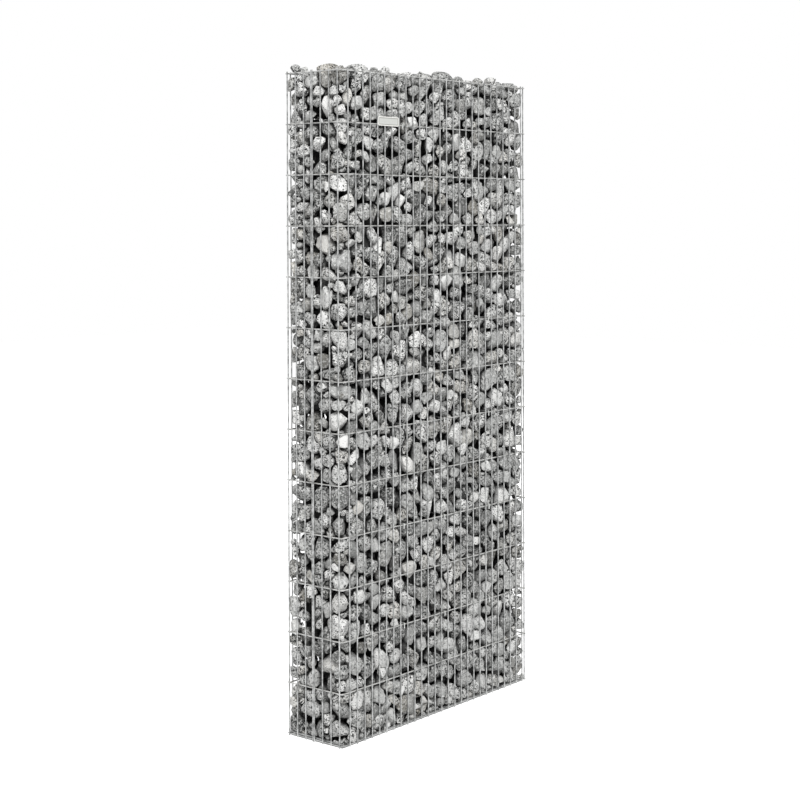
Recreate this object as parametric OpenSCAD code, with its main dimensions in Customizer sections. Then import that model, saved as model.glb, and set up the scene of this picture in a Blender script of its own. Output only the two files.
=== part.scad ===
// Free-standing gabion wall: two L-bent welded wire meshes that close to a tall box,
// a base mesh, end stiffeners, spacer ties and a stone fill laid in lifts.
// Millimetres. Origin at the middle of the footprint on the ground, +X along the wall,
// front face towards -Y, +Z up.

/* [Mesh] */
// Spacing of the upright wires
pitch = 36; // [30:1:50]
// Spacing of the level wires
row_height = 163.5; // [120:0.5:200]
// Number of mesh rows
row_count = 13; // [7:2:15]
// Upright wires in the long leg of each bent mesh
long_wires = 27; // [15:1:40]
// Upright wires in the short leg of each bent mesh
short_wires = 7; // [5:2:11]
// Wire diameter, measured across flats
wire_d = 4.5; // [3:0.5:6]
// Length of upright wire left beyond the first and last level wire
upright_overhang = 6; // [5:0.5:12]

/* [Corners] */
// Centreline radius of the bent corner
bend_r = 8; // [6:0.5:8]
// From the long face to the first upright wire of the short leg
corner_to_short_wire = 12; // [12:1:20]
// From the short face to the first upright wire of the long leg
corner_to_long_wire = 36; // [20:1:45]
// From the last upright wire of the long leg to the joint corner
long_wire_to_joint = 22; // [15:1:36]
// From the last upright wire of the short leg to the joint corner
short_wire_to_joint = 6; // [6:0.5:12]
// Length of level wire left beyond the last upright wire of the short leg
short_overhang = 9; // [4:0.5:12]

/* [Ties] */
// Diameter of a spacer tie
tie_d = 4; // [3:0.5:5]
// Spacer ties side by side at one level
ties_per_level = 3; // [1:2:5]
// Length of the leg that hooks over a level wire
hook_leg = 16; // [10:1:25]

/* [Stone fill] */
// Height of the stones heaped above the rim
crown_h = 24; // [10:1:40]
// Length of a stone, before the stones are evened out over a side
stone_l = 52; // [45:1:75]
// Height of a course of stones, before the courses are evened out over a lift
stone_h = 54; // [45:1:75]
// Depth of the gaps between the stones
stone_gap = 20; // [8:1:24]

/* [Plate] */
// Width of the blank plate
plate_w = 101; // [60:1:105]
// Height of the blank plate
plate_h = 30; // [20:1:40]
// Thickness of the blank plate
plate_t = 1.5; // [1:0.1:3]
// Corner radius of the blank plate
plate_r = 4; // [1:0.5:8]
// Width of the plate's raised rim
plate_rim_w = 3; // [1:0.5:5]
// Height of the plate's raised rim
plate_rim_h = 0.8; // [0.4:0.1:1.5]

/* [Hidden] */
// How deep two crossing wires melt into each other at a weld
weld_depth = 0.6;
// Clearance between pieces that lie against each other
seat = 0.3;
// Mesh rows in one lift of stones
rows_per_lift = 2;
// How far the stones' joints wander, as shares of a stone or of the gaps' depth
joint_wander_share = 0.28;
course_wander_share = 0.17;
gap_wander_share = 0.25;
// How deep a stone's middle lies, as a share of the gaps' depth
middle_depth_share = 0.12;
// How high the joints on top stand, as a share of the crown
top_joint_share = 0.3;
// Draws that make the stones uneven, and the steps that tell them apart
chance_count = 997;
chance_seed = 11;
chance_steps = [271, 59, 17];
// Which upright gap the plate starts in, counted from the bent corner
plate_first_wire = 5;
// How far the plate hangs below its level wire
plate_drop = 4.5;

// Wires are eight-sided, so that crossings weld flat to flat
wire_sides = 8;
flat_turn = 180 / wire_sides;
// Distance between the centre planes of crossing wires
cross_gap = wire_d - weld_depth;

// Distances between the centre planes of facing upright wires
mesh_length = corner_to_long_wire + (long_wires - 1) * pitch + long_wire_to_joint;
mesh_depth = corner_to_short_wire + (short_wires - 1) * pitch + short_wire_to_joint;
mesh_height = 2 * upright_overhang + row_count * row_height;

// Planes of the left and front uprights, and of the level wires behind them
left_x = -mesh_length / 2;
front_y = -mesh_depth / 2;
level_x = left_x + cross_gap;
level_y = front_y + cross_gap;
// Where the bend ends and the straight legs begin
bend_end_x = level_x + bend_r;
bend_end_y = level_y + bend_r;
// The long leg stops at the side of the other mesh's level wire
long_end_x = -level_x - wire_d / 2 - seat;
short_end_y = front_y + corner_to_short_wire + (short_wires - 1) * pitch + short_overhang;

// Inner faces of the level wires, less the seat, bound the stones
fill_x = -level_x - wire_d / 2 - seat;
fill_y = -level_y - wire_d / 2 - seat;

// Base mesh lies on the lowest level wires
base_cross_z = upright_overhang + wire_d;
base_long_z = base_cross_z - cross_gap;
base_cross_count = floor(mesh_length / row_height) + 1;
// Outermost base wires: the long ones beside the level wires, the cross ones inside the ends
base_long_reach = -level_y - wire_d - seat;
base_cross_reach = fill_x - wire_d / 2;
base_cross_y = -front_y - wire_d / 2 - seat;
fill_bottom = base_cross_z + wire_d / 2;

lift_count = ceil(row_count / rows_per_lift);
rim_z = upright_overhang + row_count * row_height;

// Stones along each side, and half stones once round the wall
long_stones = round(2 * fill_x / stone_l);
short_stones = round(2 * fill_y / stone_l);
round_halves = 4 * (long_stones + short_stones);
// Corners of the wall, counted in half stones from the front left one
side_starts = [
    0, 2 * long_stones, 2 * (long_stones + short_stones), 4 * long_stones + 2 * short_stones
];
chances = rands(-1, 1, chance_count, chance_seed);

function row_z(row) = upright_overhang + row * row_height;
function long_wire_x(i) = left_x + corner_to_long_wire + i * pitch;
function short_wire_y(i) = front_y + corner_to_short_wire + i * pitch;
// Place of wire i of a count spread evenly from -reach to reach
function spread(i, count, reach) = (2 * i / (count - 1) - 1) * reach;
// A lift reaches from the ties below it, or the base mesh, to the ties above it, or the rim
function lift_top(lift) = lift < lift_count ? tie_z(lift) - tie_d / 2 : rim_z;
function lift_bottom(lift) = lift == 1 ? fill_bottom : tie_z(lift - 1) + tie_d / 2 + 2 * seat;
// Centre height of the ties that lie on the level wires above a lift
function tie_z(lift) = row_z(lift * rows_per_lift) + wire_d / 2 + tie_d / 2;
// Ties stand midway between two uprights, spread evenly along the wall
function tie_gap(i) = round((i + 1) * (long_wires - 1) / (ties_per_level + 1));
function tie_x(i) = long_wire_x(tie_gap(i)) + pitch / 2;

// Upright wire from the ground
module upright(x, y, height = mesh_height) {
    translate([x, y, 0])
        rotate([0, 0, flat_turn])
            cylinder(d = wire_d / cos(flat_turn), h = height, $fn = wire_sides);
}

// Level wire along X
module level_along_x(x0, x1, y, z) {
    translate([x0, y, z])
        rotate([0, 90, 0])
            rotate([0, 0, flat_turn])
                cylinder(d = wire_d / cos(flat_turn), h = x1 - x0, $fn = wire_sides);
}

// Level wire along Y
module level_along_y(y0, y1, x, z) {
    translate([x, y0, z])
        rotate([-90, 0, 0])
            rotate([0, 0, flat_turn])
                cylinder(d = wire_d / cos(flat_turn), h = y1 - y0, $fn = wire_sides);
}

// Quarter bend that carries a level wire round the corner
module corner_bend(z) {
    translate([bend_end_x, bend_end_y, z])
        rotate([0, 0, 180])
            rotate_extrude(angle = 90, $fn = 48)
                translate([bend_r, 0])
                    rotate(flat_turn)
                        circle(d = wire_d / cos(flat_turn), $fn = wire_sides);
}

// Long leg of a bent mesh: the front of the wall
module long_leg() {
    color("silver") {
        for (i = [0 : long_wires - 1]) upright(long_wire_x(i), front_y);
        for (row = [0 : row_count]) level_along_x(bend_end_x, long_end_x, level_y, row_z(row));
    }
}

// Short leg of a bent mesh with the corner bends: the left end of the wall
module short_leg() {
    color("silver") {
        for (i = [0 : short_wires - 1]) upright(left_x, short_wire_y(i));
        for (row = [0 : row_count]) {
            level_along_y(bend_end_y, short_end_y, level_x, row_z(row));
            corner_bend(row_z(row));
        }
    }
}

// Rod that doubles the middle upright of an end, against the outside of the level wires
module end_stiffener() {
    color("silver")
        upright(left_x - weld_depth, short_wire_y((short_wires - 1) / 2) + wire_d + seat);
}

// Base mesh: cross wires on the lowest level wires, long wires welded below them
module base_mesh() {
    color("silver") {
        for (i = [0 : short_wires - 1])
            level_along_x(-fill_x, fill_x, spread(i, short_wires, base_long_reach), base_long_z);
        for (i = [0 : base_cross_count - 1])
            level_along_y(
                -base_cross_y, base_cross_y,
                spread(i, base_cross_count, base_cross_reach), base_cross_z
            );
    }
}

// One tie: a straight wire across the wall with a hook down over each level wire
module spacer_tie() {
    hook_y = -level_y + wire_d / 2 + tie_d / 2 + seat;
    rotate([90, 0, 0]) cylinder(d = tie_d, h = 2 * hook_y, center = true);
    for (side = [-1, 1])
        translate([0, side * hook_y, 0]) {
            sphere(d = tie_d);
            mirror([0, 0, 1]) cylinder(d = tie_d, h = hook_leg);
        }
}

// All ties of one level
module tie_level(lift) {
    color("gainsboro")
        for (i = [0 : ties_per_level - 1]) translate([tie_x(i), 0, tie_z(lift) + seat]) spacer_tie();
}

// A steady draw from -1 to 1 for a stone or joint, told apart by three whole numbers
function chance(a, b, c) = chances[(chance_steps * [a, b, c]) % chance_count];

// Courses of stones in a lift, and the height of one
function courses(lift) = max(1, round((lift_top(lift) - lift_bottom(lift)) / stone_h));
function course_h(lift) = (lift_top(lift) - lift_bottom(lift)) / courses(lift);

// Point on the sides of the fill, in half stones from the front left corner, sunk by a depth
function side_point(half, depth) =
    let (
        s = (half + round_halves) % round_halves,
        run = s < side_starts[1] ? [2 * s / side_starts[1] - 1, -1] :
            s < side_starts[2] ? [1, (s - side_starts[1]) / short_stones - 1] :
            s < side_starts[3] ? [1 - (s - side_starts[2]) / long_stones, 1] :
            [-1, 1 - (s - side_starts[3]) / short_stones],
        inner_x = fill_x - depth,
        inner_y = fill_y - depth
    )
    [max(-inner_x, min(inner_x, run[0] * fill_x)), max(-inner_y, min(inner_y, run[1] * fill_y))];

// Joint between stones: joints at the wall's corners and on a lift's flat faces stay in line
function joint(lift, course, half) =
    let (
        on_face = course == 0 || course == courses(lift),
        at_corner = len(search(half, side_starts)) > 0,
        along = at_corner ? 0 : joint_wander_share * chance(half, course, lift),
        up = on_face ? 0 : course_wander_share * chance(half, course, lift + lift_count),
        wander = (1 + chance(half, course, lift + 2 * lift_count)) / 2,
        depth = stone_gap * (1 - gap_wander_share * wander),
        place = side_point(half + along, depth)
    )
    [place[0], place[1], lift_bottom(lift) + (course + up) * course_h(lift)];

// Half stone that the middle of a stone lies at: every second course is shifted by one
function middle_half(course, stone) = 2 * stone + 1 + course % 2;

function middle(lift, course, stone) =
    let (
        up = 1 / 2 + course_wander_share * chance(stone, course, lift + 3 * lift_count),
        depth = stone_gap * middle_depth_share * (1 + chance(stone, course, lift + 4 * lift_count)),
        place = side_point(middle_half(course, stone), depth)
    )
    [place[0], place[1], lift_bottom(lift) + (course + up) * course_h(lift)];

// Crown joint on the rim grid: the outer ones are joints of the last course, numbered from its first
function rim_joint(row, column) =
    row == 0 ? 2 * column :
    column == long_stones ? side_starts[1] + 2 * row :
    row == short_stones ? side_starts[2] + 2 * (long_stones - column) :
    column == 0 ? side_starts[3] + 2 * (short_stones - row) :
    round_halves + (row - 1) * (long_stones - 1) + column - 1;

// Corners of one crown stone, with the joint midway along each side that lies on the rim
function crown_edge(row, column) = concat(
    rim_joint(row, column),
    row == 0 ? [2 * column + 1] : [],
    rim_joint(row, column + 1),
    column == long_stones - 1 ? [side_starts[1] + 2 * row + 1] : [],
    rim_joint(row + 1, column + 1),
    row == short_stones - 1 ? [side_starts[2] + 2 * (long_stones - column) - 1] : [],
    rim_joint(row + 1, column),
    column == 0 ? [side_starts[3] + 2 * (short_stones - row) - 1] : []
);

function crown_place(row, column, rise) = [
    spread(column, long_stones + 1, fill_x - stone_gap),
    spread(row, short_stones + 1, fill_y - stone_gap),
    rim_z + rise
];

// Joints and middles of the stones heaped above the rim
crown_joints = [
    for (row = [1 : short_stones - 1], column = [1 : long_stones - 1])
        crown_place(
            row + joint_wander_share * chance(column, row, 1),
            column + joint_wander_share * chance(column, row, 2),
            top_joint_share * crown_h * (1 + chance(column, row, 3)) / 2
        )
];
crown_middles = [
    for (row = [0 : short_stones - 1], column = [0 : long_stones - 1])
        crown_place(
            row + 1 / 2,
            column + 1 / 2,
            crown_h * (1 - (1 - top_joint_share) * (1 + chance(column, row, 4)) / 2)
        )
];

// Triangles from a stone's middle to its edge
function fan(middle, edge) = [
    for (k = [0 : len(edge) - 1]) [middle, edge[(k + 1) % len(edge)], edge[k]]
];

// One lift of stones: courses of blunt six-cornered stones round a solid core, with a crown on the last
module stone_lift(lift) {
    count = courses(lift);
    stones = round_halves / 2;
    rim = count * round_halves;
    crowned = lift == lift_count;
    joints = [for (course = [0 : count], half = [0 : round_halves - 1]) joint(lift, course, half)];
    first_middle = len(joints) + (crowned ? len(crown_joints) : 0);
    middles = [for (course = [0 : count - 1], stone = [0 : stones - 1]) middle(lift, course, stone)];
    first_crown = first_middle + len(middles);
    sides = [
        for (course = [0 : count - 1], stone = [0 : stones - 1])
            let (
                at = middle_half(course, stone),
                below = [for (k = [-1 : 1]) course * round_halves + (at + k) % round_halves],
                above = [for (k = [1 : -1 : -1]) (course + 1) * round_halves + (at + k) % round_halves]
            )
            each fan(first_middle + course * stones + stone, concat(below, above))
    ];
    bottom = [for (half = [0 : round_halves - 1]) half];
    top = [for (half = [round_halves - 1 : -1 : 0]) rim + half];
    crown = [
        for (row = [0 : short_stones - 1], column = [0 : long_stones - 1])
            each fan(
                first_crown + row * long_stones + column,
                [for (k = crown_edge(row, column)) rim + k]
            )
    ];
    color("darkgray")
        if (crowned)
            polyhedron(
                points = concat(joints, crown_joints, middles, crown_middles),
                faces = concat(sides, [bottom], crown)
            );
        else
            polyhedron(points = concat(joints, middles), faces = concat(sides, [bottom, top]));
}

// Blank plate on the front uprights, with a plain raised rim
module plate_outline(inset) {
    trim = 2 * (plate_r + inset);
    offset(r = plate_r) square([plate_w - trim, plate_h - trim], center = true);
}

module blank_plate() {
    plate_x = long_wire_x(plate_first_wire - 1) + plate_w / 2;
    plate_z = row_z(row_count - 1) - plate_drop + plate_h / 2;
    color("whitesmoke")
        translate([plate_x, front_y - wire_d / 2, plate_z])
            rotate([90, 0, 0]) {
                linear_extrude(plate_t) plate_outline(0);
                linear_extrude(plate_t + plate_rim_h)
                    difference() {
                        plate_outline(0);
                        plate_outline(plate_rim_w);
                    }
            }
}

module half_turn() {
    rotate([0, 0, 180]) children();
}

long_leg();  // front_mesh
short_leg();  // left_end_mesh
half_turn() long_leg();  // back_mesh
half_turn() short_leg();  // right_end_mesh
base_mesh();
end_stiffener();  // left_end_stiffener
half_turn() end_stiffener();  // right_end_stiffener
blank_plate();
for (lift = [1 : lift_count])
    stone_lift(lift);
for (lift = [1 : lift_count - 1])
    tie_level(lift);
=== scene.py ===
"""Looks of a free-standing gabion wall: loose grey stones in a tall box of welded wire mesh."""

import logging
import math
from dataclasses import dataclass, field
from enum import Enum
from typing import Iterable, Sequence

import bmesh
import bpy
import numpy as np
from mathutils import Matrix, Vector


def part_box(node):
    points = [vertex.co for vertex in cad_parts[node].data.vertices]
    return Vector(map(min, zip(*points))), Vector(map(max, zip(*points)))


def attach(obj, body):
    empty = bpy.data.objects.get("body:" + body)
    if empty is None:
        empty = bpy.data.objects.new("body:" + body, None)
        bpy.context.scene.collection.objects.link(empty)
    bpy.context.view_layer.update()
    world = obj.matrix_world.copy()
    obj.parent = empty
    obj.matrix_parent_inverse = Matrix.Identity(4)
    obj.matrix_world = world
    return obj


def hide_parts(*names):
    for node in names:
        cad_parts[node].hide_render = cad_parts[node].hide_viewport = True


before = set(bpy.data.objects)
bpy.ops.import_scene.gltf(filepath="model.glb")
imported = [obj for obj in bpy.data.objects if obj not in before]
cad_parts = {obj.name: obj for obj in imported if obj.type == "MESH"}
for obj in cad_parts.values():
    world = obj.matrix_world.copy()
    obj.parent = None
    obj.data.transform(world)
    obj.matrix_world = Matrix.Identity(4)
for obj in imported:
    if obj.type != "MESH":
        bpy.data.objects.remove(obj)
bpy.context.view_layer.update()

LOG = logging.getLogger("gabion_wall")
ROOT = "root"
MM = 0.001
TINY = 1e-9
FAR_AWAY = 1.0
STEEP = 0.8
SPREAD_RATIO = 1.2207440846  # root of x**4 = x + 1
X_AXIS, Z_AXIS = np.eye(3)[[0, 2]]
BLACK = (0.0, 0.0, 0.0)
WHITE = (1.0, 1.0, 1.0)
TIE_LEVELS = 6
TIES = [f"spacer_ties_{level + 1}" for level in range(TIE_LEVELS)]

Socket = bpy.types.NodeSocket
Pair = tuple[float, float]
Triple = tuple[float, float, float]
Colour = Triple
Array = np.ndarray
Arrays = tuple[Array, Array]
Material = bpy.types.Material


class Slot(Enum):
    """Names of the record's material slots."""

    WIRE = "galvanised_wire"
    STONE = "stone"


class Detail(Enum):
    """How finely a small round body is meshed: vertices in all, and the share on its outer side."""

    OUTER = (164, 0.72)
    SMALL = (64, 0.6)
    INNER = (30, 0.5)
    WELD = (14, 0.5)


@dataclass(frozen=True)
class StoneForm:
    """How a kind of stone is shaped: its mesh, how far it swells, and how deep its flats are cut."""

    detail: Detail
    swell: float
    cut_shares: Pair


FACE_STONE = StoneForm(Detail.OUTER, 0.79, (0.50, 0.93))
CHIP = StoneForm(Detail.SMALL, 0.86, (0.60, 0.96))
CORE_STONE = StoneForm(Detail.INNER, 0.78, (0.80, 1.05))


@dataclass
class Basket:
    """Places of the basket's wires in metres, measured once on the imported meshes.

    The front and left end are given; the back and right end are the same, half a turn round.
    """

    pitch: float = 36 * MM
    row_height: float = 163.5 * MM
    row_count: int = 13
    long_wires: int = 27
    short_wires: int = 7
    base_cross_wires: int = 7
    corner_to_long_wire: float = 36 * MM
    corner_to_short_wire: float = 12 * MM
    tie: float = 4 * MM
    tie_gaps: tuple[int, ...] = (7, 13, 20)
    hook_leg: float = 16 * MM
    seat: float = 0.3 * MM

    def __post_init__(self) -> None:
        """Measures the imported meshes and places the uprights, rows, base wires and ties."""
        low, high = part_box("front_mesh")
        rod_low, rod_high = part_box("left_end_stiffener")
        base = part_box("base_mesh")[1]
        self.wire = rod_high.y - rod_low.y
        self.front_y = low.y + self.wire / 2
        self.left_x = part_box("left_end_mesh")[0].x + self.wire / 2
        self.weld_gap = high.y - low.y - self.wire
        self.height = high.z
        self.level_y = -self.front_y - self.weld_gap
        self.level_x = -self.left_x - self.weld_gap
        self.overhang = (self.height - self.row_count * self.row_height) / 2
        self.rim_z = self.overhang + self.row_count * self.row_height
        self.row_z = self.overhang + self.row_height * np.arange(self.row_count + 1)
        self.front_x = self.left_x + self.corner_to_long_wire + self.pitch * np.arange(self.long_wires)
        self.end_y = self.front_y + self.corner_to_short_wire + self.pitch * np.arange(self.short_wires)
        self.base_cross_z = base.z - self.wire / 2
        self.base_long_z = self.base_cross_z - self.weld_gap
        reach = self.level_y - self.wire - self.seat
        self.base_long_y = np.linspace(-reach, reach, self.short_wires)
        reach = base.x - self.wire / 2
        self.base_cross_x = np.linspace(-reach, reach, self.base_cross_wires)
        self.tie_x = self.front_x[list(self.tie_gaps)] + self.pitch / 2
        self.tie_z = np.array([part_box(name)[1].z - self.tie / 2 for name in TIES])
        self.hook_y = self.level_y + (self.wire + self.tie) / 2 + self.seat


def unit(vectors: Array) -> Array:
    """Scales vectors to unit length."""
    return vectors / np.linalg.norm(vectors, axis=-1, keepdims=True)


def split(vectors: Array) -> Arrays:
    """Splits vectors, which may be nought, into unit vectors and lengths."""
    length = np.linalg.norm(vectors, axis=-1) + TINY
    return vectors / length[..., None], length


class Nodes:
    """Small helper that adds and links shader nodes."""

    MIX_INPUTS = (0, 6, 7)
    MIX_OUTPUT = 2
    NOISE = {"Roughness": 0.6}

    def __init__(self, owner: Material | bpy.types.World) -> None:
        """Starts with an empty node tree.

        Args:
            owner: A new material or world.
        """
        owner.use_nodes = True
        self.owner = owner
        self.tree = owner.node_tree
        self.tree.nodes.clear()

    def add(self, kind: str, inputs: dict | None = None, **settings: object) -> bpy.types.Node:
        """Adds a node.

        Args:
            kind: Blender's name of the node type.
            inputs: Values or output sockets for its inputs, by name or number.
            settings: Attributes of the node.

        Returns:
            The node.
        """
        node = self.tree.nodes.new(kind)
        for key, value in settings.items():
            setattr(node, key, value)
        for key, value in (inputs or {}).items():
            if isinstance(value, Socket):
                self.tree.links.new(value, node.inputs[key])
            else:
                node.inputs[key].default_value = value
        return node

    def ramp(self, value: Socket, stops: Sequence[float], colours: Sequence[Colour]) -> Socket:
        """Adds a colour ramp.

        Args:
            value: Socket that drives it.
            stops: Positions on it, in order.
            colours: Their colours.

        Returns:
            Its colour output.
        """
        node = self.add("ShaderNodeValToRGB", {"Fac": value})
        ramp = node.color_ramp
        while len(ramp.elements) < len(stops):
            ramp.elements.new(sum(stops) / len(stops))
        for element, position, colour in zip(ramp.elements, stops, colours):
            element.position = position
            element.color = (*colour, 1.0)
        return node.outputs["Color"]

    def mix(self, share: Socket, below: Socket, above: Socket | Colour) -> Socket:
        """Mixes two colours.

        Args:
            share: Share of the colour above.
            below: Colour below.
            above: Colour above.

        Returns:
            The colour output.
        """
        if not isinstance(above, Socket):
            above = (*above, 1.0)
        inputs = dict(zip(self.MIX_INPUTS, (share, below, above)))
        node = self.add("ShaderNodeMix", inputs, data_type="RGBA", blend_type="MIX", clamp_factor=True)
        return node.outputs[self.MIX_OUTPUT]

    def math(self, operation: str, *values: Socket | float) -> Socket:
        """Adds a math node and gives its output."""
        return self.add("ShaderNodeMath", dict(enumerate(values)), operation=operation).outputs[0]

    def noise(self, grain: Pair, place: Socket, seed: Socket | float = 0.0) -> Socket:
        """Adds four-dimensional noise; a grain holds features per metre and octaves."""
        inputs = {"Vector": place, "W": seed, "Scale": grain[0], "Detail": grain[1], **self.NOISE}
        return self.add("ShaderNodeTexNoise", inputs, noise_dimensions="4D").outputs["Fac"]

    def place(self) -> Socket:
        """Adds the place in the piece's own frame."""
        return self.add("ShaderNodeTexCoord").outputs["Object"]

    def bump(self, strength: float, depth: float, height: Socket) -> Socket:
        """Adds fine relief with a depth in metres, and gives its normal."""
        inputs = {"Strength": strength, "Distance": depth, "Height": height}
        return self.add("ShaderNodeBump", inputs).outputs[0]

    def finish(self, inputs: dict[str, object]) -> Material:
        """Closes the tree with a Principled shader.

        Args:
            inputs: Values and sockets of the shader.

        Returns:
            The material.
        """
        shader = self.add("ShaderNodeBsdfPrincipled", inputs)
        self.add("ShaderNodeOutputMaterial", {"Surface": shader.outputs[0]})
        return self.owner


@dataclass(frozen=True)
class StoneFinish:
    """Tumbled grey granite: each stone has its own tone, mottled, flecked and pitted.

    Stops are the noise values that a mark fades between.
    """

    name: str = "tumbled_granite"
    dark: Colour = (0.12, 0.122, 0.118)
    middle: Colour = (0.43, 0.435, 0.425)
    pale: Colour = (0.83, 0.83, 0.815)
    warm: Colour = (0.47, 0.42, 0.33)
    fleck: Colour = (0.02, 0.021, 0.021)
    shade: Colour = (0.006, 0.006, 0.006)
    tone_stops: tuple[float, ...] = (0.0, 0.5, 1.0)
    patch_grain: Pair = (55.0, 3.0)
    fleck_grain: Pair = (150.0, 4.0)
    pepper_grain: Pair = (300.0, 2.0)
    fine_grain: Pair = (700.0, 2.0)
    patch_share: float = 0.5
    light_stops: Pair = (0.5, 0.62)
    dim_stops: Pair = (0.36, 0.48)
    glint_stops: Pair = (0.53, 0.61)
    glint_share: float = 0.6
    fleck_edge: float = 0.47
    pepper_edge: float = 0.45
    edge_blur: float = 0.02
    bare_shift: float = 0.14
    smoothest: float = 0.6
    roughness_span: float = 0.3
    fine_relief: float = 0.35
    relief_strength: float = 1.0
    relief_depth: float = 2.4 * MM

    def material(self) -> Material:
        """Builds the node material.

        Returns:
            The material, which reads the stones' own attributes.
        """
        nodes = Nodes(bpy.data.materials.new(self.name))
        place = nodes.place()
        tone, warmth, seed, flecked, depth = (
            nodes.add("ShaderNodeAttribute", attribute_name=name).outputs["Fac"]
            for name in ("tone", "warmth", "seed", "flecked", "depth")
        )
        patches, flecks, pepper, fine = (
            nodes.noise(grain, place, seed)
            for grain in (self.patch_grain, self.fleck_grain, self.pepper_grain, self.fine_grain)
        )
        body = nodes.ramp(tone, self.tone_stops, (self.dark, self.middle, self.pale))
        body = nodes.mix(warmth, body, self.warm)
        mottled = nodes.math("MULTIPLY", flecked, self.patch_share)
        for noise, stops, ends, share, colour in (
            (patches, self.light_stops, (BLACK, WHITE), mottled, self.pale),
            (patches, self.dim_stops, (WHITE, BLACK), mottled, self.dark),
            (flecks, self.glint_stops, (BLACK, WHITE), self.glint_share, self.pale),
        ):
            marks = nodes.math("MULTIPLY", nodes.ramp(noise, stops, ends), share)
            body = nodes.mix(marks, body, colour)
        bare = nodes.math("MULTIPLY", nodes.math("SUBTRACT", 1.0, flecked), self.bare_shift)
        for noise, edge in ((flecks, self.fleck_edge), (pepper, self.pepper_edge)):
            marked = nodes.math("ADD", noise, bare)
            spots = nodes.ramp(marked, (edge - self.edge_blur, edge), (WHITE, BLACK))
            body = nodes.mix(spots, body, self.fleck)
        body = nodes.mix(depth, body, self.shade)
        rough = nodes.math("MULTIPLY_ADD", fine, self.roughness_span, self.smoothest)
        relief = nodes.math("ADD", flecks, nodes.math("MULTIPLY", fine, self.fine_relief))
        bump = nodes.bump(self.relief_strength, self.relief_depth, relief)
        return nodes.finish({"Base Color": body, "Roughness": rough, "Normal": bump})


@dataclass(frozen=True)
class WireFinish:
    """Dull zinc-coated wire with faint streaks, and a painted highlight, a paler colour, on the tops of
    its level wires.
    """

    name: str
    colour: Colour
    streak: Colour
    # colour of the painted highlight on the tops of the level wires
    highlight_colour: Colour = (0.92, 0.91, 0.87)
    streak_grain: Pair = (60.0, 3.0)
    streak_stops: Pair = (0.36, 0.60)
    fine_grain: Pair = (900.0, 2.0)
    metallic: float = 0.7
    smoothest: float = 0.3
    roughness_span: float = 0.25
    relief_strength: float = 0.15
    relief_depth: float = 0.3 * MM

    def material(self) -> Material:
        """Builds the node material.

        Returns:
            The material.
        """
        nodes = Nodes(bpy.data.materials.new(self.name))
        place = nodes.place()
        painted_highlight = nodes.add("ShaderNodeAttribute", attribute_name="painted_highlight").outputs["Fac"]
        cloud = nodes.noise(self.streak_grain, place)
        fine = nodes.noise(self.fine_grain, place)
        tint = nodes.ramp(cloud, self.streak_stops, (self.streak, self.colour))
        # painted highlight: paler colour on the tops of the level wires
        tint = nodes.mix(painted_highlight, tint, self.highlight_colour)
        rough = nodes.math("MULTIPLY_ADD", fine, self.roughness_span, self.smoothest)
        bump = nodes.bump(self.relief_strength, self.relief_depth, fine)
        return nodes.finish(
            {"Base Color": tint, "Metallic": self.metallic, "Roughness": rough, "Normal": bump}
        )


GALVANISED = WireFinish("galvanised_wire", (0.62, 0.625, 0.62), (0.24, 0.245, 0.24))
TIE_WIRE = WireFinish("tie_wire", (0.72, 0.73, 0.71), (0.58, 0.59, 0.58))


@dataclass(frozen=True)
class PlateFinish:
    """Pressed sheet: a painted highlight on its raised rim, painted shade and dirt in the corner below it,
    and a duller brushed field.
    """

    name: str = "pressed_plate"
    # colour of the painted highlight on the raised rim
    rim: Colour = (0.90, 0.90, 0.86)
    # painted shade and dirt in the corner below the rim
    shade_and_dirt: Colour = (0.30, 0.30, 0.28)
    plain: Colour = (0.70, 0.71, 0.68)
    worn: Colour = (0.60, 0.61, 0.58)
    span: float = 15 * MM
    brush_grain: Pair = (900.0, 2.0)
    brush_stretch: Triple = (0.15, 1.0, 1.0)
    brush_stops: Pair = (0.35, 0.65)
    rim_stops: Pair = (0.20, 0.26)
    field_stops: Pair = (0.30, 0.42)
    metallic: float = 0.3
    roughness: float = 0.42
    relief_strength: float = 0.2
    relief_depth: float = 0.2 * MM

    def material(self) -> Material:
        """Builds the node material.

        Returns:
            The material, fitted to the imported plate.
        """
        low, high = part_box("blank_plate")
        nodes = Nodes(bpy.data.materials.new(self.name))
        place = nodes.place()
        axes = nodes.add("ShaderNodeSeparateXYZ", {0: place}).outputs
        inset = []
        for axis, start, end in ((axes["X"], low.x, high.x), (axes["Z"], low.z, high.z)):
            aside = nodes.math("ABSOLUTE", nodes.math("SUBTRACT", axis, (start + end) / 2))
            inset.append(nodes.math("SUBTRACT", (end - start) / 2, aside))
        share = nodes.math("DIVIDE", nodes.math("MINIMUM", *inset), self.span)
        stretch = nodes.add("ShaderNodeMapping", {"Vector": place, "Scale": self.brush_stretch})
        brushed = nodes.noise(self.brush_grain, stretch.outputs[0])
        body = nodes.ramp(brushed, self.brush_stops, (self.worn, self.plain))
        # painted highlight on the rim, then painted shade and dirt just inside it
        edge = nodes.ramp(share, self.rim_stops, (self.rim, self.shade_and_dirt))
        inside = nodes.ramp(share, self.field_stops, (BLACK, WHITE))
        body = nodes.mix(inside, edge, body)
        bump = nodes.bump(self.relief_strength, self.relief_depth, brushed)
        return nodes.finish(
            {"Base Color": body, "Metallic": self.metallic, "Roughness": self.roughness, "Normal": bump}
        )


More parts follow.
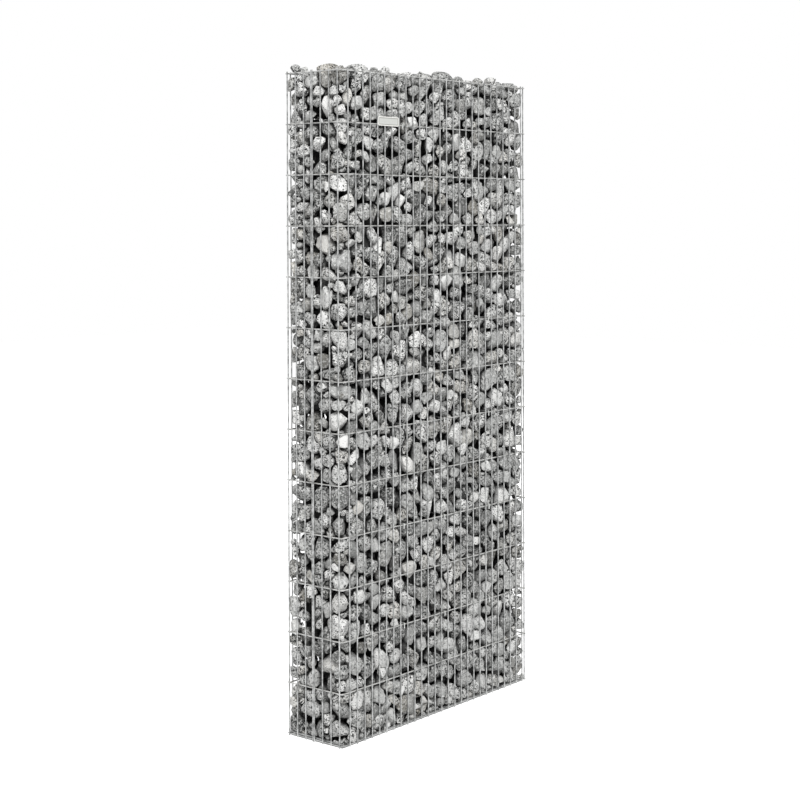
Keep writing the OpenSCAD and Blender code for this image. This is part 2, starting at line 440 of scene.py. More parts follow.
@dataclass
class SphereMould:
    """Points spread over a sphere, denser on the side of +Z, with the triangles that join them."""

    detail: Detail
    points: Array = field(init=False)
    faces: Array = field(init=False)

    def __post_init__(self) -> None:
        """Lays the points on a spiral and joins them by their hull."""
        count, outer_share = self.detail.value
        rank = (np.arange(count) + 0.5) / count
        z = np.where(rank < outer_share, 1 - rank / outer_share, -(rank - outer_share) / (1 - outer_share))
        turn = np.arange(count) * math.pi * (3 - math.sqrt(5))
        ring = np.sqrt(np.maximum(1 - z * z, 0))
        hull = bmesh.new()
        for point in np.stack([ring * np.cos(turn), ring * np.sin(turn), z], axis=1):
            hull.verts.new(point)
        bmesh.ops.convex_hull(hull, input=hull.verts[:])
        hull.verts.index_update()
        bmesh.ops.triangulate(hull, faces=hull.faces[:])
        self.points = unit(np.array([v.co for v in hull.verts]))
        faces = []
        for face in hull.faces:
            a, b, c = (v.index for v in face.verts)
            outward = np.linalg.det(self.points[[a, b, c]]) > 0
            faces.append((a, b, c) if outward else (a, c, b))
        self.faces = np.array(faces)
        hull.free()

    def copies(self, count: int) -> Array:
        """Triangles of several copies, one after another."""
        shift = np.arange(count) * len(self.points)
        return (self.faces[None] + shift[:, None, None]).reshape(-1, 3)


@dataclass
class StonePile:
    """Loose stones settled in the basket, and their shapes."""

    basket: Basket
    seed: int = 9
    median_size: float = 49 * MM
    size_spread: float = 0.26
    size_range: Pair = (29 * MM, 78 * MM)
    long_range: Pair = (1.0, 1.65)
    flat_range: Pair = (0.66, 1.0)
    solid_share: float = 0.76
    steps: int = 170
    search_every: int = 8
    search_margin: float = 6 * MM
    give: float = 0.36
    ground: float = 1.5 * MM
    crown_fill: float = 16 * MM
    crown_range: Pair = (7 * MM, 27 * MM)
    bulge: float = 8.0 * MM
    skin: float = 0.9 * MM
    outer_depth: float = 44 * MM
    edge_blend: float = 12 * MM
    laid_depth: float = 55 * MM
    laid_tilt: float = 0.28
    laid_spread: Triple = (1.0, 1.0, 0.6)
    press: float = 0.42 * MM
    proud: float = 5.5 * MM
    neighbours: int = 18
    neighbour_margin: float = 10 * MM
    least_reach: float = 4 * MM
    facets: int = 8
    softness: float = 64.0
    waves: int = 5
    wave_rate: float = 2.2
    wave_height: float = 0.022
    chip_tries: int = 160000
    chip_radius: float = 8.5 * MM
    chip_axes: Triple = (1.18, 1.05, 0.95)
    chip_proud: float = 1 * MM
    worn: float = 0.74
    corner_room: Pair = (75 * MM, 60 * MM)
    foot_share: float = 0.35
    foot_height: float = 45 * MM
    foot_depth: float = 55 * MM

    def __post_init__(self) -> None:
        """Draws the stones' sizes, turns and first places."""
        self.random = np.random.default_rng(self.seed)
        basket = self.basket
        self.wall = np.array([-basket.left_x, -basket.front_y]) - basket.wire / 2
        room = 4 * self.wall[0] * self.wall[1] * (basket.rim_z - basket.base_long_z)
        mean_volume = math.pi / 6 * self.median_size**3 * math.exp((3 * self.size_spread) ** 2 / 2)
        count = int(self.solid_share * room / mean_volume)
        size = self.median_size * np.exp(self.random.normal(0, self.size_spread, count))
        size = np.clip(size, *self.size_range)
        long = self.random.uniform(*self.long_range, count)
        flat = self.random.uniform(*self.flat_range, count)
        axes = np.stack([long, np.ones(count), flat], axis=1)
        axes *= (size / 2 / np.cbrt(axes.prod(axis=1)))[:, None]
        self.axes = axes
        self.place = self._scatter(count)
        self.turn = self._turns(count)
        self._lay_flat()
        self.inverse = np.einsum("nij,nj,nkj->nik", self.turn, axes**-2, self.turn)
        self.reach = np.sqrt(np.einsum("nij,nj->ni", self.turn**2, axes**2))
        self.lid = basket.rim_z + self.random.uniform(*self.crown_range, count)

    def _turns(self, count: int) -> Array:
        """Random rotations.

        Args:
            count: How many.

        Returns:
            Rotation matrices.
        """
        w, x, y, z = unit(self.random.normal(size=(count, 4))).T
        return np.array([
            [1 - 2 * (y * y + z * z), 2 * (x * y - z * w), 2 * (x * z + y * w)],
            [2 * (x * y + z * w), 1 - 2 * (x * x + z * z), 2 * (y * z - x * w)],
            [2 * (x * z - y * w), 2 * (y * z + x * w), 1 - 2 * (x * x + y * y)],
        ]).transpose(2, 0, 1).copy()

    def _lay_flat(self) -> None:
        """Turns the outer stones with their flat side to the mesh, as they are laid by hand."""
        depth, way = self.outward()
        outer = np.flatnonzero(depth < self.laid_depth)
        short = unit(way[outer] + self.random.normal(0, self.laid_tilt, (len(outer), 3)))
        long = self.random.normal(size=(len(outer), 3)) * np.array(self.laid_spread)
        long = unit(np.cross(short, long))
        self.turn[outer] = np.stack([long, np.cross(short, long), short], axis=2)

    def _scatter(self, count: int) -> Array:
        """First places: an even low-discrepancy spread through the basket.

        Args:
            count: How many.

        Returns:
            Points in the basket.
        """
        step = 1.0 / np.array([SPREAD_RATIO**power for power in (1, 2, 3)])
        share = (0.5 + np.outer(np.arange(count), step)) % 1.0
        low = np.array([-self.wall[0], -self.wall[1], self.ground])
        high = np.array([self.wall[0], self.wall[1], self.basket.rim_z + self.crown_fill])
        return low + share * (high - low)

    def _near_pairs(self, margin: float) -> Arrays:
        """Finds the stones that lie close to each other.

        Args:
            margin: Widest gap that still counts.

        Returns:
            Two arrays with the stones of each pair.
        """
        order = np.argsort(self.place[:, 2])
        height = self.place[order, 2]
        longest = self.axes.max(axis=1)
        stop = np.searchsorted(height, height + 2 * longest.max() + margin)
        counts = stop - np.arange(len(order)) - 1
        first = np.repeat(np.arange(len(order)), counts)
        second = np.arange(counts.sum()) - np.repeat(np.cumsum(counts) - counts, counts) + first + 1
        first, second = order[first], order[second]
        gap = self.place[second] - self.place[first]
        near = np.einsum("ij,ij->i", gap, gap) < (longest[first] + longest[second] + margin) ** 2
        return first[near], second[near]

    def _radius(self, stones: Array, direction: Array) -> Array:
        """Distance from the stones' centres to their surfaces along a direction."""
        across = np.einsum("nij,nj->ni", self.inverse[stones], direction)
        return np.einsum("ni,ni->n", direction, across) ** -0.5

    def settle(self) -> None:
        """Pushes overlapping stones apart until they lie side by side in the basket."""
        count = len(self.place)
        for step in range(self.steps):
            if step % self.search_every == 0:
                first, second = self._near_pairs(self.search_margin)
            direction, distance = split(self.place[second] - self.place[first])
            overlap = self._radius(first, direction) + self._radius(second, direction) - distance
            push = direction * (np.maximum(overlap, 0) * self.give)[:, None]
            for axis in range(3):
                self.place[:, axis] += np.bincount(second, push[:, axis], count)
                self.place[:, axis] -= np.bincount(first, push[:, axis], count)
            self._press_outward()
            self._clear_wires()
            self._keep_inside()
        LOG.info("settled %d stones", count)

    def _press_outward(self) -> None:
        """Draws the outer stones against the mesh, as they are packed by hand."""
        inward = self.wall - np.abs(self.place[:, :2])
        pull = np.clip(1 - inward / self.laid_depth, 0, 1) * self.press
        self.place[:, :2] += np.sign(self.place[:, :2]) * pull

    def _keep_inside(self) -> None:
        """Holds the stones in the mesh, above the base and under their lids."""
        for axis in (0, 1):
            limit = self.wall[axis] + self.bulge - self.reach[:, axis]
            self.place[:, axis] = np.clip(self.place[:, axis], -limit, limit)
        low = self.ground + self.reach[:, 2]
        self.place[:, 2] = np.clip(self.place[:, 2], low, np.maximum(self.lid - self.reach[:, 2], low))

    def _clear_wires(self) -> None:
        """Pushes stones off the wires near them."""
        stones = np.arange(len(self.place))
        for normals, distances in zip(*self._wires()):
            for number in range(normals.shape[1]):
                normal = normals[:, number]
                overlap = self._radius(stones, normal) + self.basket.wire / 2 - distances[:, number]
                self.place -= normal * (np.maximum(overlap, 0) * self.give)[:, None]

    def _wires(self) -> Arrays:
        """Directions and distances from each stone to the wires near it.

        Returns:
            Unit vectors and distances to the axes of the uprights and level wires of the nearer
            end and the nearer long side, of the base wires and of the spacer ties and their hooks:
            two wires of each kind for each stone.
        """
        basket = self.basket
        x, y, z = self.place.T
        rise = self._steps(basket.row_z, z)
        kinds = []
        for axis, wires, outer, level in (
            (0, basket.end_y, -basket.left_x, basket.level_x),
            (1, basket.front_x, -basket.front_y, basket.level_y),
        ):
            side = np.where(self.place[:, axis] > 0, 1.0, -1.0)[:, None]
            step = -side * self._steps(wires, -side[:, 0] * self.place[:, 1 - axis])
            inner = np.abs(self.place[:, axis:axis + 1])
            kinds.append({1 - axis: step, axis: side * (outer - inner)})
            kinds.append({2: rise, axis: side * (level - inner)})
        kinds.append({1: self._steps(basket.base_long_y, y), 2: (basket.base_long_z - z)[:, None]})
        kinds.append({0: self._steps(basket.base_cross_x, x), 2: (basket.base_cross_z - z)[:, None]})
        across = self._steps(basket.tie_x, x)
        height = self._steps(basket.tie_z, z)
        height = np.take_along_axis(height, np.abs(height).argmin(axis=1)[:, None], axis=1)
        side = np.where(y > 0, 1.0, -1.0)
        kinds.append({0: across, 2: height})
        kinds.append({0: across, 1: (side * (basket.hook_y - np.abs(y)))[:, None]})
        vectors = np.zeros((len(kinds), len(z), 2, 3))
        for vector, parts in zip(vectors, kinds):
            for axis, part in parts.items():
                vector[:, :, axis] = part
        normals, distances = split(vectors)
        beside = np.abs(height - basket.hook_leg / 2) < basket.hook_leg
        distances[-1] = np.where(beside, distances[-1], FAR_AWAY)
        return normals, distances

    @staticmethod
    def _steps(wires: Array, place: Array) -> Array:
        """Steps from places to the two wires, given in order, on either side."""
        after = np.clip(np.searchsorted(wires, place), 1, len(wires) - 1)
        return wires[np.stack([after - 1, after], axis=1)] - place[:, None]

    def _gaps(self) -> Arrays:
        """Tries places beside the upright corners and along the foot.

        Returns:
            The places in order of height, and the room that the stones leave at each.
        """
        spots = self.random.uniform(-1, 1, (self.chip_tries, 3)) * np.array([*self.wall, 1.0])
        spots[:, 2] = self.ground + (spots[:, 2] + 1) / 2 * (self.basket.rim_z - self.ground)
        at_foot = self.random.random(self.chip_tries) < self.foot_share
        spots[at_foot, 2] *= self.foot_height / self.basket.rim_z
        inward = self.wall - np.abs(spots[:, :2])
        corner = (inward < np.array(self.corner_room)).all(axis=1)
        foot = (spots[:, 2] < self.foot_height) & (inward.min(axis=1) < self.foot_depth)
        spots, inward = spots[corner | foot], inward[corner | foot]
        room = np.minimum(inward.min(axis=1) + self.chip_proud, spots[:, 2] - self.ground)
        order = np.argsort(spots[:, 2])
        spots, room = spots[order], room[order]
        reach = 2 * self.axes.max()
        for place, inverse in zip(self.place, self.inverse):
            low, high = np.searchsorted(spots[:, 2], place[2] + np.array([-reach, reach]))
            way, distance = split(spots[low:high] - place)
            radius = np.einsum("ni,ij,nj->n", way, inverse, way) ** -0.5
            room[low:high] = np.minimum(room[low:high], distance - self.worn * radius)
        return spots, room

    def fill_gaps(self) -> None:
        """Adds small stones beside the corners and along the foot, in the widest gaps first."""
        spots, room = self._gaps()
        added = np.zeros((0, 4))
        for spot in np.argsort(-room):
            if room[spot] < self.chip_radius:
                break
            if (np.linalg.norm(added[:, :3] - spots[spot], axis=1) > room[spot] + added[:, 3]).all():
                added = np.vstack([added, [*spots[spot], room[spot]]])
        self.place = np.concatenate([self.place, added[:, :3]])
        self.axes = np.concatenate([self.axes, added[:, 3:] * np.array(self.chip_axes)])
        self.turn = np.concatenate([self.turn, self._turns(len(added))])
        self.inverse = np.einsum("nij,nj,nkj->nik", self.turn, self.axes**-2, self.turn)
        LOG.info("filled gaps with %d small stones", len(added))

    def depths(self, points: Array) -> Array:
        """Depths of points behind the nearer end, the nearer long side and the rim."""
        return np.array([*self.wall, self.basket.rim_z]) - np.abs(points)

    def outward(self) -> Arrays:
        """Depth of each stone's centre behind the nearest open face, and the way out.

        Returns:
            Depths and unit vectors.
        """
        depth = self.depths(self.place)
        way = np.exp(-depth / self.edge_blend) * np.sign(self.place + TINY)
        return depth.min(axis=1), split(way)[0]

    def limits(self) -> Arrays:
        """Planes that bound each stone: between it and its neighbours, and at the wires.

        Returns:
            Unit normals and distances from the centres, one row of them per stone.
        """
        count = len(self.place)
        first, second = self._near_pairs(self.neighbour_margin)
        one, other = np.concatenate([first, second]), np.concatenate([second, first])
        normal, distance = split(self.place[other] - self.place[one])
        near, far = self._radius(one, normal), self._radius(other, normal)
        slack = (distance - near - far) / 2 - self.skin
        order = np.lexsort((slack, one))
        one, normal, reach = one[order], normal[order], (near + slack)[order]
        rank = np.arange(len(one)) - np.searchsorted(one, np.arange(count))[one]
        keep = rank < self.neighbours
        normals = np.zeros((count, self.neighbours, 3))
        reaches = np.full((count, self.neighbours), FAR_AWAY)
        normals[one[keep], rank[keep]] = normal[keep]
        reaches[one[keep], rank[keep]] = reach[keep]
        wire_normals, wire_distances = self._wires()
        walls = np.sign(self.place + TINY)[:, :, None] * np.eye(3)
        walls[:, 2] = (0, 0, -1)
        beside = self.wall + self.proud - np.abs(self.place[:, :2])
        below = self.place[:, 2:] - self.ground
        wire_reaches = wire_distances - self.basket.wire / 2 - self.skin
        normals = np.concatenate([normals, walls, *wire_normals], axis=1)
        reaches = np.concatenate([reaches, beside, below, *wire_reaches], axis=1)
        return normals, np.maximum(reaches, self.least_reach)

    def shapes(
        self, stones: Array, form: StoneForm, mould: SphereMould, limits: Arrays, way: Array
    ) -> Array:
        """Shapes some of the stones: blocks with worn edges, bounded by their neighbours.

        Args:
            stones: Which stones.
            form: Their form.
            mould: Sphere that their vertices come from.
            limits: Bounding planes of all stones.
            way: Directions outward, which the mould's dense side faces.

        Returns:
            Vertices, one block per stone.
        """
        count = len(stones)
        draw = np.random.default_rng(self.seed + len(mould.points))
        up = way[stones]
        side = split(np.cross(np.where(np.abs(up[:, 2:]) > STEEP, X_AXIS, Z_AXIS), up))[0]
        spin = draw.uniform(0, 2 * math.pi, count)[:, None]
        across = np.cross(up, side)
        right = side * np.cos(spin) + across * np.sin(spin)
        ahead = across * np.cos(spin) - side * np.sin(spin)
        ray = np.stack([right, ahead, up], axis=2) @ mould.points.T
        ray = ray.transpose(0, 2, 1)
        local = ray @ self.turn[stones]
        axes = self.axes[stones]
        inverse = np.linalg.norm(local / axes[:, None, :], axis=2) * form.swell
        wave = draw.normal(size=(count, self.waves, 3)) * self.wave_rate
        phase = draw.uniform(0, 2 * math.pi, (count, 1, self.waves))
        inverse *= 1 + self.wave_height * np.sin(local @ wave.transpose(0, 2, 1) + phase).sum(axis=2)
        chop = unit(draw.normal(size=(count, self.facets, 3)))
        support = np.linalg.norm(chop * axes[:, None, :], axis=2)
        cut = support * draw.uniform(*form.cut_shares, (count, self.facets))
        total = inverse**self.softness
        total += self._facing(local, chop, cut)
        total += self._facing(ray, limits[0][stones], limits[1][stones])
        radius = total ** (-1 / self.softness)
        return self.place[stones][:, None, :] + ray * radius[:, :, None]

    def _facing(self, ray: Array, normals: Array, distances: Array) -> Array:
        """Share of some planes, by normal and distance, in the soft least radius along each ray."""
        facing = np.maximum(ray @ normals.transpose(0, 2, 1), 0) / distances[:, None, :]
        return (facing**self.softness).sum(axis=2)


@dataclass
class StoneFill:
    """The stone fill, dressed lift by lift."""

    basket: Basket
    finish: StoneFinish = StoneFinish()
    lift_count: int = 7
    chip_size: float = 27 * MM
    shade_start: float = 8 * MM
    shade_end: float = 31 * MM
    deepest_shade: float = 0.98
    crease: float = math.radians(23)
    tone: Pair = (0.56, 0.32)
    darkest: float = 0.02
    warmth: Pair = (-0.1, 0.22)
    warmest: float = 0.6
    seed_span: float = 60.0
    flecked: Pair = (2.6, 1.0)

    def build(self) -> None:
        """Settles and shapes the stones, and makes one piece per lift."""
        pile = StonePile(self.basket)
        pile.settle()
        pile.fill_gaps()
        limits = pile.limits()
        depth, way = pile.outward()
        outer = depth < pile.outer_depth
        chip = 2 * np.cbrt(pile.axes.prod(axis=1)) < self.chip_size
        names = [f"stone_lift_{number + 1}" for number in range(self.lift_count)]
        tops = [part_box(name)[1].z for name in names[:-1]]
        lift = np.searchsorted(tops, pile.place[:, 2])
        draw = np.random.default_rng(pile.seed + 1)
        count = len(depth)
        looks = {
            "tone": np.clip(draw.normal(*self.tone, count), self.darkest, 1),
            "warmth": np.clip(draw.normal(*self.warmth, count), 0, self.warmest),
            "seed": draw.uniform(0, self.seed_span, count),
            "flecked": draw.beta(*self.flecked, count),
        }
        material = self.finish.material()
        for number, name in enumerate(names):
            owner, parts = [], []
            for form, chosen in ((FACE_STONE, outer & ~chip), (CHIP, outer & chip), (CORE_STONE, ~outer)):
                stones = np.flatnonzero(chosen & (lift == number))
                mould = SphereMould(form.detail)
                points = pile.shapes(stones, form, mould, limits, way)
                owner.append(np.repeat(stones, len(mould.points)))
                parts.append((points.reshape(-1, 3), mould.copies(len(stones))))
            points, faces = join(parts)
            values = {key: value[np.concatenate(owner)] for key, value in looks.items()}
            values["depth"] = self._shade(pile.depths(points).min(axis=1))
            piece = new_piece(name.replace("stone", "stones"), points, faces, material, values)
            piece.data.set_sharp_from_angle(angle=self.crease)
            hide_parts(name)

    def _shade(self, depth: Array) -> Array:
        """Darkens what lies deep in the fill, from 0 to 1, as little light comes there."""
        share = np.clip((depth - self.shade_start) / (self.shade_end - self.shade_start), 0, 1)
        return self.deepest_shade * share * share * (3 - 2 * share)


def new_object(name: str, data: bpy.types.ID) -> bpy.types.Object:
    """Adds an object with the given data to the scene."""
    thing = bpy.data.objects.new(name, data)
    bpy.context.scene.collection.objects.link(thing)
    return thing


def new_piece(
    name: str,
    points: Array,
    faces: Array,
    material: Material,
    values: dict[str, Array],
) -> bpy.types.Object:
    """Makes a smooth-shaded mesh piece that rides on the wall.

    Args:
        name: Name of the piece.
        points: Vertices in metres.
        faces: Triangles.
        material: Its finish.
        values: Values at the vertices that the finish reads.

    Returns:
        The piece.
    """
    mesh = bpy.data.meshes.new(name)
    mesh.from_pydata(points, [], faces, shade_flat=False)
    mesh.materials.append(material)
    for key, value in values.items():
        layer = mesh.attributes.new(key, "FLOAT", "POINT")
        layer.data.foreach_set("value", value.astype(np.float32))
    piece = new_object(name, mesh)
    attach(piece, ROOT)
    LOG.info("%s: %d triangles", name, len(faces))
    return piece


def join(parts: Sequence[Arrays]) -> Arrays:
    """Joins meshes.

    Args:
        parts: Vertices and triangles of each.

    Returns:
        Vertices and triangles of all.
    """
    start = np.cumsum([0] + [len(points) for points, _ in parts[:-1]])
    points = np.concatenate([points for points, _ in parts])
    return points, np.concatenate([faces + shift for (_, faces), shift in zip(parts, start)])


def dress(names: Iterable[str], material: Material) -> None:
    """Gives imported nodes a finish.

    Args:
        names: The nodes.
        material: Their finish.
    """
    for name in names:
        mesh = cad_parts[name].data
        mesh.materials.clear()
        mesh.materials.append(material)


class Side(Enum):
    """The two halves of the basket: one as drawn, the other half a turn round."""

    NEAR = 1.0
    FAR = -1.0


@dataclass
class WirePanels:
    """The bent meshes and end stiffeners as round drawn wire with weld flash at the crossings."""

    basket: Basket
    seed: int = 4
    sides: int = 10
    long_points: int = 30
    short_points: int = 8
    bend_points: int = 7
    wander: float = 0.25 * MM
    cut_core: float = 0.02
    cut_face: float = 0.86
    cut_bevel: float = 0.14
    flash: Pair = (3.1 * MM, 1.9 * MM)
    flash_range: Pair = (0.85, 1.1)
    # painted highlight on the level wires' tops: its strength, and where it starts and ends above the
    # axis, as shares of the wire's reach
    painted_highlight: float = 0.8
    highlight_start: float = 0.15
    highlight_end: float = 0.7

    def build(self) -> None:
        """Makes one piece per mesh and stiffener, and dresses the base mesh to match."""
        self.random = np.random.default_rng(self.seed)
        material = GALVANISED.material()
        for side, nodes in (
            (Side.NEAR, ("front_mesh", "left_end_mesh", "left_end_stiffener")),
            (Side.FAR, ("back_mesh", "right_end_mesh", "right_end_stiffener")),
        ):
            for node, wires in zip(nodes, (self._long_leg, self._short_leg, self._stiffener)):
                points, faces = join(wires())
                points = points * np.array([side.value, side.value, 1.0])
                name = node.replace("mesh", "wires") + "_drawn"
                # painted highlight on the tops of the level wires
                values = {"painted_highlight": self._paint_highlight(points.astype(np.float32))}
                piece = new_piece(name, points, faces, material, values)
                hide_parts(node)
        dress(["base_mesh"], material)

    def _paint_highlight(self, points: Array) -> Array:
        """Marks a painted highlight, where light from above falls, on the tops of the level wires, all but
        the lowest.

        Args:
            points: Vertices of the wires.

        Returns:
            Share of the painted highlight at each vertex, from 0 to 1.
        """
        basket = self.basket
        x, y, z = np.abs(points).T
        inner = np.minimum(np.abs(x - basket.level_x), np.abs(y - basket.level_y))
        reach = basket.wire / 2 + self.wander
        row = np.rint((z - basket.overhang) / basket.row_height)
        above = z - basket.overhang - row * basket.row_height
        turned_up = (above / reach - self.highlight_start) / (self.highlight_end - self.highlight_start)
        share = np.clip(turned_up, 0, 1) * np.where(row > 0, self.painted_highlight, 0.0)
        share[(np.abs(above) > reach) | (inner > reach)] = 0.0
        return share

    def _long_leg(self) -> list[Arrays]:
        """Front wires.

        Returns:
            Meshes of the wires and the weld flash.
        """
        basket = self.basket
        low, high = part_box("front_mesh")
        y = -basket.level_y
        parts = [self._upright(x, basket.front_y) for x in basket.front_x]
        for z in basket.row_z:
            parts.append(self._tube(self._straight((low.x, y, z), (high.x, y, z), self.long_points)))
        weld_y = basket.front_y + basket.weld_gap / 2
        spots = np.array([(x, weld_y, z) for x in basket.front_x for z in basket.row_z])
        return parts + [self._weld_flash(spots, 1)]

    def _short_leg(self) -> list[Arrays]:
        """Left end wires with the bent corner.

        Returns:
            Meshes of the wires and the weld flash.
        """
        basket = self.basket
        parts = [self._upright(basket.left_x, y) for y in basket.end_y]
        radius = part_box("front_mesh")[0].x + basket.level_x
        turn = np.linspace(0, math.pi / 2, self.bend_points)
        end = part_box("left_end_mesh")[1].y
        for z in basket.row_z:
            bend = np.stack([
                -basket.level_x + radius - radius * np.sin(turn),
                -basket.level_y + radius - radius * np.cos(turn),
                np.full(len(turn), z),
            ], axis=1)
            leg = self._straight(tuple(bend[-1]), (-basket.level_x, end, z), self.short_points)
            parts.append(self._tube(np.concatenate([bend, leg[1:]])))
        weld_x = basket.left_x + basket.weld_gap / 2
        spots = np.array([(weld_x, y, z) for y in basket.end_y for z in basket.row_z])
        return parts + [self._weld_flash(spots, 0)]

    def _stiffener(self) -> list[Arrays]:
        """Second rod in the middle of the left end."""
        low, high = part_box("left_end_stiffener")
        return [self._upright((low.x + high.x) / 2, (low.y + high.y) / 2)]

    def _upright(self, x: float, y: float) -> Arrays:
        """One upright wire at a place along X and Y."""
        top = (x, y, self.basket.height)
        return self._tube(self._straight((x, y, 0.0), top, self.basket.row_count + 2))

    def _straight(self, start: Triple, end: Triple, count: int) -> Array:
        """Points along a straight wire that wanders a little between its ends.

        Args:
            start: First point.
            end: Last point.
            count: How many points.

        Returns:
            The points.
        """
        share = np.linspace(0, 1, count)[:, None]
        path = np.array(start) * (1 - share) + np.array(end) * share
        across = np.array([float(a == b) for a, b in zip(start, end)])
        path[1:-1] += self.random.uniform(-self.wander, self.wander, (count - 2, 3)) * across
        return path

    def _tube(self, path: Array) -> Arrays:
        """Round wire along a path, with cut ends.

        Args:
            path: Points of its axis.

        Returns:
            Vertices and triangles.
        """
        radius = self.basket.wire / 2
        tangent = unit(np.gradient(path, axis=0))
        side = unit(np.cross(X_AXIS if abs(tangent[0, 2]) > STEEP else Z_AXIS, tangent))
        other = np.cross(tangent, side)
        cut_rings = ((2, 2), (0, 0))
        path, side, other = (np.pad(rows, cut_rings, mode="edge") for rows in (path, side, other))
        size = np.full(len(path), radius)
        size[[0, -1]] = self.cut_core * radius
        size[[1, -2]] = self.cut_face * radius
        for ring, inner in ((2, 3), (-3, -4)):
            step = path[inner] - path[ring]
            path[ring] += step / np.linalg.norm(step) * self.cut_bevel * radius
        turn = 2 * math.pi * np.arange(self.sides) / self.sides
        ring = side[:, None, :] * np.cos(turn)[:, None] + other[:, None, :] * np.sin(turn)[:, None]
        points = path[:, None, :] + ring * size[:, None, None]
        number = np.arange(len(path) * self.sides).reshape(len(path), self.sides)
        after = np.roll(number, -1, axis=1)
        quads = np.stack([number[:-1], after[:-1], after[1:], number[1:]], axis=-1).reshape(-1, 4)
        caps = [
            (end[0], end[k + 1], end[k])
            for end in (number[0], number[-1][::-1])
            for k in range(1, self.sides - 1)
        ]
        faces = np.concatenate([quads[:, [0, 1, 2]], quads[:, [0, 2, 3]], np.array(caps)])
        return points.reshape(-1, 3), faces

    def _weld_flash(self, spots: Array, axis: int) -> Arrays:
        """Small flattened beads squeezed out where wires are welded.

        Args:
            spots: Places of the welds.
            axis: Axis that the wires are pressed together along.

        Returns:
            Vertices and triangles.
        """
        mould = SphereMould(Detail.WELD)
        wide, thin = self.flash
        size = np.full(3, wide)
        size[axis] = thin
        size = size * self.random.uniform(*self.flash_range, (len(spots), 1))
        points = spots[:, None, :] + mould.points[None, :, :] * size[:, None, :]
        return points.reshape(-1, 3), mould.copies(len(spots))


@dataclass(frozen=True)
class Lamp:
    """A square soft lamp: its watts, its size and its place in metres."""

    name: str
    power: float
    size: float
    place: Triple


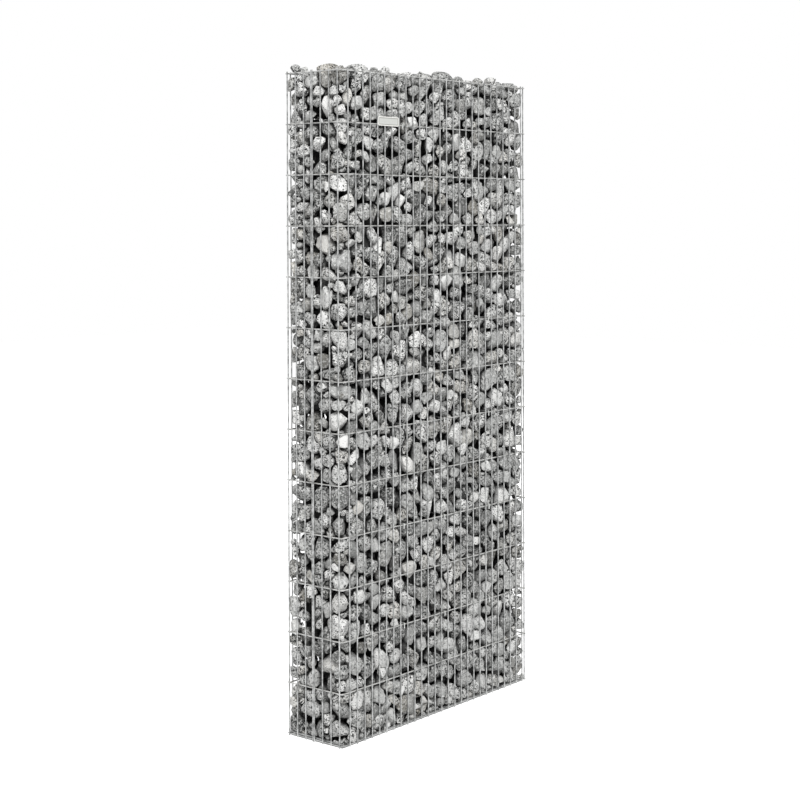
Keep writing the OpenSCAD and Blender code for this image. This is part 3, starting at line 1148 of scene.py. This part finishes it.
@dataclass(frozen=True)
class Studio:
    """Camera, lamps, backdrop and floor; foot is half of the dark strip under the wall."""

    camera_place: Triple = (-4.2938, -3.4932, 1.6549)
    yaw: float = -0.8805
    pitch: float = -0.0084
    roll: float = 0.0034
    lens_mm: float = 73.08
    shift: float = -0.2061
    far_clip: float = 100.0
    world_strength: float = 0.21
    backdrop_strength: float = 1.0
    lamps: tuple[Lamp, ...] = (
        Lamp("key", 800.0, 3.0, (-5.0, -5.0, 6.5)),
        Lamp("back", 350.0, 4.5, (5.0, 5.5, 5.5)),
    )
    lamp_aim: Triple = (0.0, 0.0, 1.1)
    floor_colour: Colour = (0.6, 0.6, 0.6)
    floor_glow: float = 0.885
    floor_size: float = 30.0
    foot: Pair = (0.488, 0.108)
    foot_edge: float = 0.006

    def build(self) -> None:
        """Sets up the whole studio."""
        self._camera()
        self._world()
        self._lamps()
        self._floor()

    def _camera(self) -> None:
        """Places the camera as the photograph's."""
        data = bpy.data.cameras.new("camera")
        data.lens = self.lens_mm
        data.shift_y = self.shift
        data.clip_end = self.far_clip
        camera = new_object("camera", data)
        camera.location = self.camera_place
        camera.rotation_euler = (math.pi / 2 + self.pitch, self.roll, self.yaw)
        bpy.context.scene.camera = camera

    def _world(self) -> None:
        """Lights the scene evenly, and shows white behind the wall."""
        nodes = Nodes(bpy.data.worlds.new("studio"))
        light, backdrop = (
            nodes.add("ShaderNodeBackground", {"Color": (*WHITE, 1.0), "Strength": strength}).outputs[0]
            for strength in (self.world_strength, self.backdrop_strength)
        )
        mix = nodes.add("ShaderNodeMixShader", {0: self._seen(nodes), 1: light, 2: backdrop})
        nodes.add("ShaderNodeOutputWorld", {"Surface": mix.outputs[0]})
        bpy.context.scene.world = nodes.owner

    def _seen(self, nodes: Nodes) -> Socket:
        """Adds a switch for rays that show the backdrop: straight, mirrored or through glass.

        Args:
            nodes: Nodes to add it to.

        Returns:
            Socket that is 1 for such rays.
        """
        path = nodes.add("ShaderNodeLightPath").outputs
        value = path["Is Camera Ray"]
        for name in ("Is Glossy Ray", "Is Transmission Ray"):
            value = nodes.math("MAXIMUM", value, path[name])
        return value

    def _lamps(self) -> None:
        """Adds large soft lamps: one high in front of the corner, a weaker one behind."""
        for lamp in self.lamps:
            data = bpy.data.lights.new(lamp.name, "AREA")
            data.energy = lamp.power
            data.size = lamp.size
            light = new_object(lamp.name, data)
            light.visible_glossy = False
            light.location = lamp.place
            aim = Vector(self.lamp_aim) - light.location
            light.rotation_euler = aim.to_track_quat("-Z", "Y").to_euler()

    def _open_floor(self, nodes: Nodes) -> Socket:
        """Tells the open floor from the dark strip under the wall.

        Args:
            nodes: Nodes of the floor's material.

        Returns:
            Socket that is 1 on the open floor and 0 under the wall.
        """
        axes = nodes.add("ShaderNodeSeparateXYZ", {0: nodes.place()}).outputs
        outside = []
        for axis, half in zip("XY", self.foot):
            beyond = nodes.math("SUBTRACT", nodes.math("ABSOLUTE", axes[axis]), half)
            outside.append(nodes.math("DIVIDE", beyond, self.foot_edge))
        return nodes.add("ShaderNodeClamp", {"Value": nodes.math("MAXIMUM", *outside)}).outputs[0]

    def _floor(self) -> None:
        """Lays a plain white floor that keeps the wall's soft shadow."""
        nodes = Nodes(bpy.data.materials.new("floor"))
        paint = nodes.add("ShaderNodeBsdfDiffuse", {"Color": (*self.floor_colour, 1.0)})
        glow = nodes.math("MULTIPLY", self._seen(nodes), self.floor_glow)
        glow = nodes.math("MULTIPLY", glow, self._open_floor(nodes))
        glow = nodes.add("ShaderNodeEmission", {"Strength": glow})
        both = nodes.add("ShaderNodeAddShader", {0: paint.outputs[0], 1: glow.outputs[0]})
        nodes.add("ShaderNodeOutputMaterial", {"Surface": both.outputs[0]})
        mesh = bpy.data.meshes.new("floor")
        half = self.floor_size / 2
        corners = [(-half, -half, 0), (half, -half, 0), (half, half, 0), (-half, half, 0)]
        mesh.from_pydata(corners, [], [(0, 1, 2, 3)])
        mesh.materials.append(nodes.owner)
        floor = new_object("floor", mesh)


def main() -> None:
    """Builds the wall's looks."""
    logging.basicConfig(level=logging.INFO, format="%(relativeCreated)d ms %(message)s")
    bpy.context.scene.view_settings.view_transform = "Standard"
    basket = Basket()
    Studio().build()
    StoneFill(basket).build()
    WirePanels(basket).build()
    dress(TIES, TIE_WIRE.material())
    dress(["blank_plate"], PlateFinish().material())


if __name__ == "__main__":
    main()
